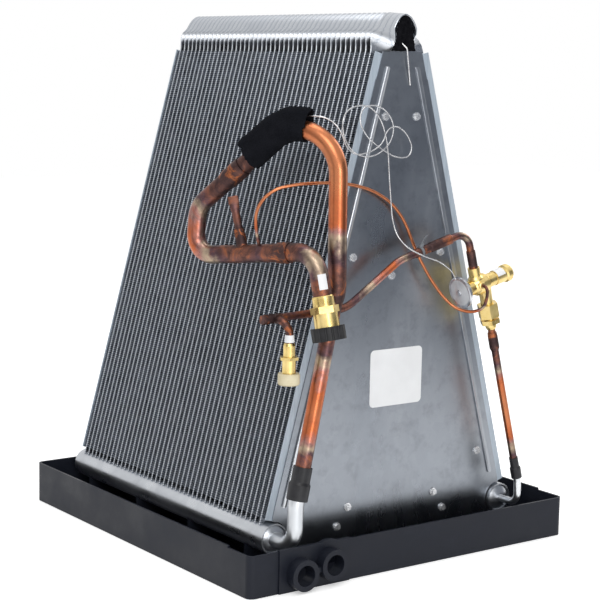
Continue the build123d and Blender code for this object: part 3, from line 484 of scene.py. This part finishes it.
def paper_material():
    material, wire, shader, place = new_material("label_paper", (0.80, 0.81, 0.82), 0.45)
    cloud = wire.noise(place, 30.0, 4.0)
    colour = wire.ramp(cloud, [(0.3, (0.78, 0.79, 0.80)), (0.7, (0.84, 0.85, 0.86))])
    wire.feed(shader.inputs["Base Color"], colour)
    wire.feed(shader.inputs["Normal"], wire.bump(wire.noise(place, 900.0, 2.0), 0.08, 0.0002))
    return material


def bright_metal(name, colour, dark, roughness, scale=120.0, metallic=1.0):
    material, wire, shader, place = new_material(name, colour, roughness, metallic)
    patchy = wire.noise(place, scale, 4.0)
    wire.feed(shader.inputs["Base Color"], wire.ramp(patchy, [(0.35, dark), (0.65, colour)]))
    wire.feed(shader.inputs["Roughness"], wire.spread(patchy, 0.2, 0.8, roughness + 0.12, roughness))
    return material


def centre(node):
    low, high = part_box(node)
    return tuple((a + b) / 2 for a, b in zip(low, high))


joints = [
    (centre("suction_coupling"), 0.050), (centre("process_socket"), 0.055), (centre("liquid_tee"), 0.045),
    (centre("line_coupling"), 0.050), (centre("inlet_socket"), 0.030), (centre("outlet_socket"), 0.042),
    ((-0.1935, -0.130, 0.481), 0.068), ((-0.129, -0.255, 0.335), 0.078), ((-0.1602, -0.2705, 0.352), 0.028),
    (centre("shrink_sleeve_suction"), 0.050), (centre("shrink_sleeve_liquid"), 0.035),
    (centre("liquid_branch"), 0.030),
]
copper = copper_material("copper_tube", joints)
brass = brass_material()
fin_stock = fin_material()
tube_metal = tube_material()
sheet = sheet_material()
strip_metal = strip_material()
pan_plastic = pan_material()
felt = felt_material()
foam = plain_plastic("black_foam", (0.002, 0.002, 0.003), (0.009, 0.009, 0.011), 0.9, 260.0, 0.05)
black_cap = plain_plastic("black_cap_plastic", (0.010, 0.010, 0.011), (0.022, 0.022, 0.024), 0.45)
ivory_cap = plain_plastic("ivory_cap_plastic", (0.62, 0.54, 0.35), (0.74, 0.67, 0.48), 0.4)
tie_plastic = plain_plastic("tie_plastic", (0.10, 0.11, 0.12), (0.20, 0.21, 0.23), 0.5, 60.0)
shrink = plain_plastic("shrink_plastic", (0.010, 0.010, 0.012), (0.03, 0.03, 0.034), 0.4, 50.0)
paper = paper_material()
zinc = bright_metal("zinc_screw", (0.86, 0.87, 0.88), (0.45, 0.46, 0.48), 0.2, 400.0, 0.7)
wire_steel = bright_metal("steel_wire", (0.72, 0.72, 0.72), (0.42, 0.42, 0.43), 0.2, 90.0)
head_face = bright_metal("valve_head_face", (0.66, 0.67, 0.69), (0.50, 0.51, 0.53), 0.35, 60.0, 0.3)
head_steel = bright_metal("valve_head_steel", (0.62, 0.63, 0.65), (0.34, 0.35, 0.38), 0.25, 110.0)
thin_copper = copper_material("equaliser_copper", [
    ((-0.190, -0.181, 0.395), 0.022), ((0.096, -0.268, 0.335), 0.02)])

FINISH = {
    "drain_pan": pan_plastic, "header_left": header_metal, "header_right": header_metal,
    "end_cap_suction": header_metal, "end_cap_liquid": header_metal, "end_caps_rear": header_metal,
    "side_strip_front_left": strip_metal, "side_strip_front_right": strip_metal,
    "side_strip_rear_left": strip_metal, "side_strip_rear_right": strip_metal,
    "delta_plate_front": sheet, "delta_plate_rear": sheet,
    "plate_screws_front": zinc, "plate_screws_rear": zinc,
    "foam_plug_front": foam, "foam_plug_rear": foam, "foam_clip": wire_steel, "rating_label": paper,
    "suction_elbow": elbow_metal, "liquid_elbow": elbow_metal, "shrink_sleeve_suction": shrink,
    "shrink_sleeve_liquid": shrink, "suction_fitting": brass, "suction_cap": black_cap, "suction_tag": paper,
    "sensing_bulb": copper, "bulb_strap": wire_steel, "liquid_fitting": brass, "liquid_cap": ivory_cap,
    "liquid_tag": paper, "valve_body": brass, "power_head": head_steel, "stem_cap": brass, "stem_sticker": paper,
    "outlet_nut": brass, "flare_nut": brass, "equaliser_tube": thin_copper, "capillary_tube": wire_steel,
}
for name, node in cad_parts.items():
    finish = FINISH.get(name, copper)
    node.data.materials.clear()
    node.data.materials.append(finish)


# ---- coil ---------------------------------------------------------------------------------------
def tube_stations(ridge_twist, steps=14):
    """(x, z, lean, twist) of a flat tube from its header to the ridge."""
    stations = []
    for along in (-0.0165, 0.0, 0.2, 0.4, FIN_LENGTH - 0.004):
        stations.append((*slab(along, TUBE_W / 2, -1), LEAN, 0.0))
    x0, z0 = slab(FIN_LENGTH + 0.001, TUBE_W / 2, -1)
    top = RIDGE_TOP - TUBE_W / 2 * cos(radians(ridge_twist)) - TUBE_T / 2
    for i in range(steps + 1):
        share = i / steps
        lean = LEAN + (pi / 2 - LEAN) * share
        x = x0 * cos(lean) / cos(LEAN)
        z = z0 + (top - z0) * (sin(lean) - sin(LEAN)) / (1 - sin(LEAN))
        turn = min(1.0, 2.2 * share)
        turn = turn * turn * (3 - 2 * turn)
        stations.append((x, z, lean, radians(ridge_twist) * turn))
    return stations


def flat_tube(y, ridge_twist):
    half_w, half_t, edge = TUBE_W / 2, TUBE_T / 2, 0.0005
    section = [(-half_w, -half_t + edge), (-half_w + edge, -half_t), (half_w - edge, -half_t),
               (half_w, -half_t + edge), (half_w, half_t - edge), (half_w - edge, half_t),
               (-half_w + edge, half_t), (-half_w, half_t - edge)]
    left = tube_stations(ridge_twist)
    right = [(-x, z, pi - lean, twist) for x, z, lean, twist in reversed(left[:-1])]
    rings = []
    for x, z, lean, twist in left + right:
        inward = Vector((cos(lean), 0, -sin(lean)))
        width = inward * cos(twist) + Vector((0, -sin(twist), 0))
        flat = inward * sin(twist) + Vector((0, cos(twist), 0))
        middle = Vector((x, y, z))
        rings.append([middle + width * w + flat * f for w, f in section])
    return loft(rings)


tubes = [flat_tube(FIRST_TUBE_Y + k * PITCH, END_TWIST if k == 0 else RIDGE_TWIST) for k in range(TUBES)]
tube_piece = new_piece("flat_tubes", *join(tubes), tube_metal)
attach(tube_piece, "root")
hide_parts("coil_tubes")


def fin_strips(side):
    """Folded fin strips of one slab, brazed between the tubes."""
    parts = []
    depth0, depth1 = 0.0006, TUBE_W - 0.0006
    crest = 0.16 * FIN_FOLD
    folds = int(FIN_LENGTH / FIN_FOLD)
    for k in range(TUBES + 1):
        y0 = CORE_FRONT + k * PITCH + 0.0001
        y1 = y0 + PITCH - TUBE_T - 0.0002
        shift = random.uniform(0, FIN_FOLD * 0.4)
        bends = []
        for i in range(folds):
            s = i * FIN_FOLD + shift
            bends += [(y0, s), (y0, s + crest), (y1, s + FIN_FOLD / 2), (y1, s + FIN_FOLD / 2 + crest)]
        bends = [(y, s) for y, s in bends if s < FIN_LENGTH - 0.0005]
        points, faces = [], []
        for i, (y, s) in enumerate(bends):
            for depth in (depth0, depth1):
                x, z = slab(s, depth, side)
                points.append((x, y, z))
            if i:
                faces.append((2 * i - 2, 2 * i, 2 * i + 1, 2 * i - 1))
        parts.append((points, faces))
    return join(parts)


random.seed(7)
for side_name, side in (("left", -1), ("right", 1)):
    strips = new_piece("fin_strips_" + side_name, *fin_strips(side), fin_stock, 30.0)
    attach(strips, "root")
    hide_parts("fins_" + side_name)


# ---- felt wrap ----------------------------------------------------------------------------------
RISER_TOP = Vector((-0.130, -0.255, 0.596))     # corner over the top bend
TRAP_JOINT = Vector((-0.193, -0.125, 0.476))    # where the pipe enters the trap's socket
BEND_END = Vector((-0.16696, -0.17874, 0.52560))
TOP_BEND = 0.052
PIPE_R, BULB_R = 0.0111, 0.00635
FELT_STRAIGHT, FELT_TURN = 0.041, radians(52)
FELT_T = 0.0024


def wrap_outline(count, stand_off):
    """Outline round pipe and bulb with outward normals, in (across, towards the pivot), even spacing."""
    gap = PIPE_R + BULB_R
    fine = []
    for i in range(720):
        angle = 2 * pi * i / 720
        out = Vector((cos(angle), sin(angle)))
        if -out.y > (PIPE_R - BULB_R) / gap:
            fine.append((Vector((0, -gap)) + out * (BULB_R + stand_off), out))
        else:
            fine.append((out * (PIPE_R + stand_off), out))
    lengths = [0.0]
    for (a, _), (b, _) in zip(fine, fine[1:] + fine[:1]):
        lengths.append(lengths[-1] + (b - a).length)
    points, k = [], 0
    for j in range(count):
        want = lengths[-1] * j / count
        while lengths[k + 1] < want:
            k += 1
        (a, out_a), (b, out_b) = fine[k], fine[(k + 1) % len(fine)]
        share = (want - lengths[k]) / max(lengths[k + 1] - lengths[k], 1e-9)
        points.append((a.lerp(b, share), out_a.lerp(out_b, share).normalized()))
    return points


def felt_wrap():
    """Felt cut wrapped a little over once round pipe and bulb, following the bend, with torn ends."""
    way = (TRAP_JOINT - RISER_TOP).normalized()
    side = Vector((0.9, 0.436, 0)).normalized()
    inner = way.cross(side).normalized()
    pivot = BEND_END + inner * TOP_BEND
    around, lap, steps = 96, 16, 64
    outline = wrap_outline(around, 0.0006)
    lap_start = int(around * 0.93)              # the free edge lies on the side that faces forward

    def place(u, v):
        """(point, outward normal) at u along, from the bend end (0) down the straight (1), and v round."""
        flat, out = outline[(lap_start + v) % around]
        if u < 0:
            turn = Matrix.Rotation(-FELT_TURN * u, 3, side)
            frame_at = (pivot + turn @ (BEND_END - pivot), turn @ side, turn @ inner)
        else:
            frame_at = (BEND_END + way * FELT_STRAIGHT * u, side, inner)
        at, across, inwards = frame_at
        return at + across * flat.x + inwards * flat.y, across * out.x + inwards * out.y

    top, bottom = [], []
    columns = around + lap + 1
    for v in range(columns):
        start = (-1.0 + 0.06 * noise.noise(Vector((v * 0.21, 3.0, 0)))
                 + 0.05 * abs(noise.noise(Vector((v * 0.9, 8.0, 0)))))
        end = (1.0 - 0.10 * abs(noise.noise(Vector((v * 0.16, 5.0, 0))))
               - 0.08 * abs(noise.noise(Vector((v * 0.8, 1.0, 0)))))
        over = min(1.0, max(0.0, (v - around + 6) / 6.0))
        under = min(1.0, v / 6.0)
        for i in range(steps + 1):
            u = start + (end - start) * i / steps
            point, out = place(u, v)
            crumple = 0.0013 * noise.fractal(point * 70 + Vector((v * 0.004, 0, 0)), 1.0, 2.0, 3)
            lift = over * (FELT_T + 0.0004) + 0.0009 + crumple + (1 - under) * -0.0004
            if v > columns - 6 and i > steps * 0.6:
                lift += 0.0014 * (v - columns + 6) / 5 * (i / steps - 0.6)
            bottom.append(point + out * max(lift - 0.0012, 0.0001))
            top.append(point + out * max(lift - 0.0012 + FELT_T, FELT_T * 0.8))
    row = steps + 1
    points = top + bottom
    shift = len(top)
    faces = []
    for v in range(columns - 1):
        for i in range(steps):
            a, b = v * row + i, (v + 1) * row + i
            faces.append((a, b, b + 1, a + 1))
            faces.append((shift + a, shift + a + 1, shift + b + 1, shift + b))
    for v in range(columns - 1):
        a, b = v * row, (v + 1) * row
        faces.append((a, shift + a, shift + b, b))
        faces.append((a + steps, b + steps, shift + b + steps, shift + a + steps))
    for i in range(steps):
        last = (columns - 1) * row
        faces.append((i, i + 1, shift + i + 1, shift + i))
        faces.append((last + i, shift + last + i, shift + last + i + 1, last + i + 1))
    return points, faces


felt_piece = new_piece("felt_sheet", *felt_wrap(), felt, 60.0)
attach(felt_piece, "root")
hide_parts("felt_wrap")


# ---- foam ---------------------------------------------------------------------------------------
FOAM_WIDEST_Z = 0.658           # the pad bulges here to fill the fold
FOAM_SQUASH_Z = 0.660           # and is pressed flatter above this


def foam_pad(node, name):
    """Lumpy, torn-edged foam in the place of a node's plain block."""
    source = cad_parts[node].data.copy()
    rough = bpy.data.objects.new(name + "_rough", source)
    bpy.context.scene.collection.objects.link(rough)
    remesh = rough.modifiers.new("cells", "REMESH")
    remesh.mode = "VOXEL"
    remesh.voxel_size = 0.0009
    done = rough.evaluated_get(bpy.context.evaluated_depsgraph_get())
    mesh = bpy.data.meshes.new_from_object(done)
    bpy.data.objects.remove(rough)
    normals = [v.normal.copy() for v in mesh.vertices]
    points = []
    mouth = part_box("side_strip_front_left")[0][1] - 0.004       # the foam stops inside the fold's edge
    for vertex, normal in zip(mesh.vertices, normals):
        lump = noise.fractal(vertex.co * 160, 1.0, 2.0, 4)
        x, y, z = vertex.co - normal * (0.0007 + 0.0007 * lump)
        spread = 1 + 0.5 * exp(-((z - FOAM_WIDEST_Z) / 0.008) ** 2)
        over = max(0.0, z - FOAM_SQUASH_Z)
        points.append(Vector((x * spread, max(y, mouth + 0.0008 * lump), z - 0.34 * over)))
    return points, [tuple(face.vertices) for face in mesh.polygons]


for foam_node in ("foam_plug_front", "foam_plug_rear"):
    pad = new_piece(foam_node.replace("plug", "pad"), *foam_pad(foam_node, foam_node), foam, 60.0)
    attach(pad, "root")
    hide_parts(foam_node)


# ---- small pieces -------------------------------------------------------------------------------
def lathe(origin, axis, profile, count=48):
    """Turned piece from (radius, height) points that start and end on the axis."""
    axis = Vector(axis).normalized()
    across = axis.orthogonal().normalized()
    third = axis.cross(across)
    points, faces = [Vector(origin) + axis * profile[0][1]], []
    inner = profile[1:-1]
    for radius, height in inner:
        for j in range(count):
            angle = 2 * pi * j / count
            points.append(Vector(origin) + axis * height + (across * cos(angle) + third * sin(angle)) * radius)
    points.append(Vector(origin) + axis * profile[-1][1])
    last = len(points) - 1
    for j in range(count):
        k = (j + 1) % count
        faces.append((0, 1 + k, 1 + j))
        for i in range(len(inner) - 1):
            a, b = 1 + i * count, 1 + (i + 1) * count
            faces.append((a + j, a + k, b + k, b + j))
        faces.append((last, 1 + (len(inner) - 1) * count + j, 1 + (len(inner) - 1) * count + k))
    return points, faces


def add_small(name, shape, material, slot, *replaced):
    piece = new_piece(name, *shape, material)
    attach(piece, "root")
    if replaced:
        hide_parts(*replaced)
    return piece


VALVE = Vector((0.104, -0.250, 0.344))
DOWN = Vector((sin(LEAN), 0, -cos(LEAN)))
HEAD = Vector((-cos(LEAN), 0, -sin(LEAN)))
add_small("head_face", lathe(VALVE + HEAD * 0.022, HEAD, [
    (0, 0.0130), (0.0162, 0.0130), (0.0166, 0.01362), (0.0161, 0.01380), (0.0042, 0.01455), (0, 0.0146)]),
    head_face, "valve_head_steel")

LINE_CORNER = Vector((-0.022, -0.240, 0.379))
INLET_CORNER = VALVE - DOWN * 0.071 + HEAD * 0.007
line_way = (INLET_CORNER - LINE_CORNER).normalized()
TIE_R, TIE_EDGE_R = 0.0067, 0.0062      # outside of the band, and where its edge turns in
tie_at = LINE_CORNER + line_way * 0.034
add_small("tie_band", lathe(tie_at, line_way, [
    (0, -0.0017), (TIE_EDGE_R, -0.0017), (TIE_R, -0.0012), (TIE_R, 0.0012), (TIE_EDGE_R, 0.0017), (0, 0.0017)]),
    tie_plastic, "shrink_plastic")


def tie_tail():
    """Trimmed end of the tie, standing up off its head."""
    up = (Vector((0, -0.25, 1)) - line_way * line_way.z).normalized()
    thin = line_way.cross(up).normalized()
    corners = ((-1, -1), (1, -1), (1, 1), (-1, 1))
    rings = []
    for i in range(9):
        share = i / 8
        wide = 0.0026 if i < 3 else 0.0019
        thick = 0.0019 if i < 3 else 0.0006
        middle = tie_at + up * (0.0058 + 0.0125 * share) + line_way * 0.009 * share ** 1.5
        rings.append([middle + line_way * wide * a + thin * thick * b for a, b in corners])
    return loft(rings)


add_small("tie_tail", tie_tail(), tie_plastic, "shrink_plastic")


def paper_round(middle, way, facing, radius, half_angle, half_length, thick=0.0003, steps=16):
    """Paper patch that lies round a pipe, its middle facing one way."""
    way = way.normalized()
    out = (facing - way * facing.dot(way)).normalized()
    side = way.cross(out)
    arc = [half_angle * (2 * i / steps - 1) for i in range(steps + 1)]
    loop = [(radius + thick, a) for a in arc] + [(radius, a) for a in reversed(arc)]
    rings = []
    for share in (-1, 1):
        end = middle + way * half_length * share
        rings.append([end + (out * cos(a) + side * sin(a)) * rad for rad, a in loop])
    return loft(rings)


SUCTION_TOP, ELBOW_CORNER = Vector((-0.1602, -0.2705, 0.349)), Vector((-0.1635, -0.2595, 0.399))
elbow_way = (ELBOW_CORNER - SUCTION_TOP).normalized()
TAG_FACING = Vector((-0.32, -0.94, 0))
tag_at = SUCTION_TOP + elbow_way * 0.016
add_small("elbow_tag", paper_round(tag_at, elbow_way, TAG_FACING, PIPE_R, radians(27), 0.009),
          paper, "label_paper", "suction_tag")


# outline of the sticker along and across the slab, each corner cut by half a millimetre
STICKER_CORNERS = [(0.567, 0.0205), (0.5675, 0.0200), (0.5675, 0.0125), (0.567, 0.0120),
                   (0.523, 0.0120), (0.5225, 0.0125), (0.5225, 0.0200), (0.523, 0.0205)]


def strip_sticker():
    """Narrow bare sticker near the top of the front-left side strip."""
    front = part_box("side_strip_front_left")[0][1]
    rings = []
    for lift in (0.0, 0.0002):
        ring = []
        for along, depth in STICKER_CORNERS:
            x, z = slab(along, depth, -1)
            ring.append(Vector((x, front - lift, z)))
        rings.append(ring)
    return loft(rings)


add_small("strip_sticker", strip_sticker(), paper, "label_paper")


# ---- stage --------------------------------------------------------------------------------------
def make_floor():
    mesh = bpy.data.meshes.new("floor")
    size = 6.0
    corners = [(-size, -size, 0), (size, -size, 0), (size, size, 0), (-size, size, 0)]
    mesh.from_pydata(corners, [], [(0, 1, 2, 3)])
    floor = bpy.data.objects.new("floor", mesh)
    bpy.context.scene.collection.objects.link(floor)
    material, wire, shader, place = new_material("pale_floor", (0.93, 0.93, 0.93), 0.9)
    shader.inputs["Specular IOR Level"].default_value = 0.1
    paths = wire.node("LightPath")
    seen = wire.maths("MAXIMUM", paths.outputs["Is Camera Ray"], paths.outputs["Is Glossy Ray"])
    seen = wire.maths("MAXIMUM", seen, paths.outputs["Is Transmission Ray"])
    shader.inputs["Emission Color"].default_value = (1.0, 1.0, 1.0, 1.0)
    wire.feed(shader.inputs["Emission Strength"], wire.maths("MULTIPLY", seen, 0.45))
    mesh.materials.append(material)
    floor.location.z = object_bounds()[0][2] - 0.0005


def make_world():
    world = bpy.data.worlds.new("studio")
    bpy.context.scene.world = world
    world.use_nodes = True
    tree = world.node_tree
    tree.nodes.clear()
    wire = Wiring(tree)
    paths = wire.node("LightPath")
    seen = wire.maths("MAXIMUM", paths.outputs["Is Camera Ray"], paths.outputs["Is Glossy Ray"])
    seen = wire.maths("MAXIMUM", seen, paths.outputs["Is Transmission Ray"])
    background = wire.node("Background")
    background.inputs["Color"].default_value = (1.0, 1.0, 1.0, 1.0)
    wire.feed(background.inputs["Strength"], wire.spread(seen, 0.0, 1.0, 0.6, 1.0))
    out = wire.node("OutputWorld")
    tree.links.new(background.outputs[0], out.inputs[0])


def grey_card(name, at, aim, width, height, shade):
    """Card that the metal reflects. It is outside the main view, but shows from behind and hides the right side."""
    mesh = bpy.data.meshes.new(name)
    w, h = width / 2, height / 2
    mesh.from_pydata([(-w, -h, 0), (w, -h, 0), (w, h, 0), (-w, h, 0)], [], [(0, 1, 2, 3)])
    card = bpy.data.objects.new(name, mesh)
    bpy.context.scene.collection.objects.link(card)
    material, wire, shader, place = new_material(name, (0.05, 0.05, 0.05), 0.9)
    shader.inputs["Emission Color"].default_value = (*shade, 1.0)
    shader.inputs["Emission Strength"].default_value = 1.0
    mesh.materials.append(material)
    card.location = at
    card.rotation_euler = (Vector(aim) - Vector(at)).to_track_quat("Z", "Y").to_euler()


def soft_lamp(name, at, aim, size, power):
    lamp = bpy.data.lights.new(name, "AREA")
    lamp.shape = "SQUARE"
    lamp.size = size
    lamp.energy = power
    holder = bpy.data.objects.new(name, lamp)
    holder.location = at
    holder.rotation_euler = (Vector(aim) - Vector(at)).to_track_quat("-Z", "Y").to_euler()
    bpy.context.scene.collection.objects.link(holder)


def make_camera():
    """Camera at the front-left corner, a little above the middle, tipped by about a degree."""
    azimuth, elevation, roll = radians(-36.335), radians(8.154), radians(1.0945)
    back = Vector((sin(azimuth) * cos(elevation), -cos(azimuth) * cos(elevation), sin(elevation)))
    level = Vector((cos(azimuth), sin(azimuth), 0))
    upright = back.cross(level)
    right = level * cos(roll) + upright * sin(roll)
    up = -level * sin(roll) + upright * cos(roll)
    data = bpy.data.cameras.new("camera")
    data.lens = 98.913
    data.sensor_width = 36.0
    camera = bpy.data.objects.new("camera", data)
    bpy.context.scene.collection.objects.link(camera)
    at = Vector((0.00058, -0.00845, 0.30007)) + back * 2.20936
    camera.matrix_world = Matrix((
        (right.x, up.x, back.x, at.x), (right.y, up.y, back.y, at.y),
        (right.z, up.z, back.z, at.z), (0, 0, 0, 1)))
    bpy.context.scene.camera = camera


make_floor()
make_world()
make_camera()
grey_card("card_right", (0.95, -1.25, 0.52), (0, -0.21, 0.35), 1.5, 1.1, (0.17, 0.19, 0.23))
grey_card("card_left", (-2.3, -0.2, 0.9), (0, -0.2, 0.4), 0.7, 1.8, (0.22, 0.22, 0.24))
soft_lamp("key", (-1.6, -2.2, 2.4), (0, 0, 0.35), 1.6, 30)
soft_lamp("front", (-0.7, -2.7, 0.5), (0, -0.2, 0.35), 0.9, 12)
soft_lamp("side", (2.4, 0.2, 1.8), (0, -0.1, 0.3), 1.2, 16)
soft_lamp("top", (0.0, 0.2, 2.6), (0, 0, 0.4), 1.6, 18)
bpy.context.scene.view_settings.view_transform = "Standard"
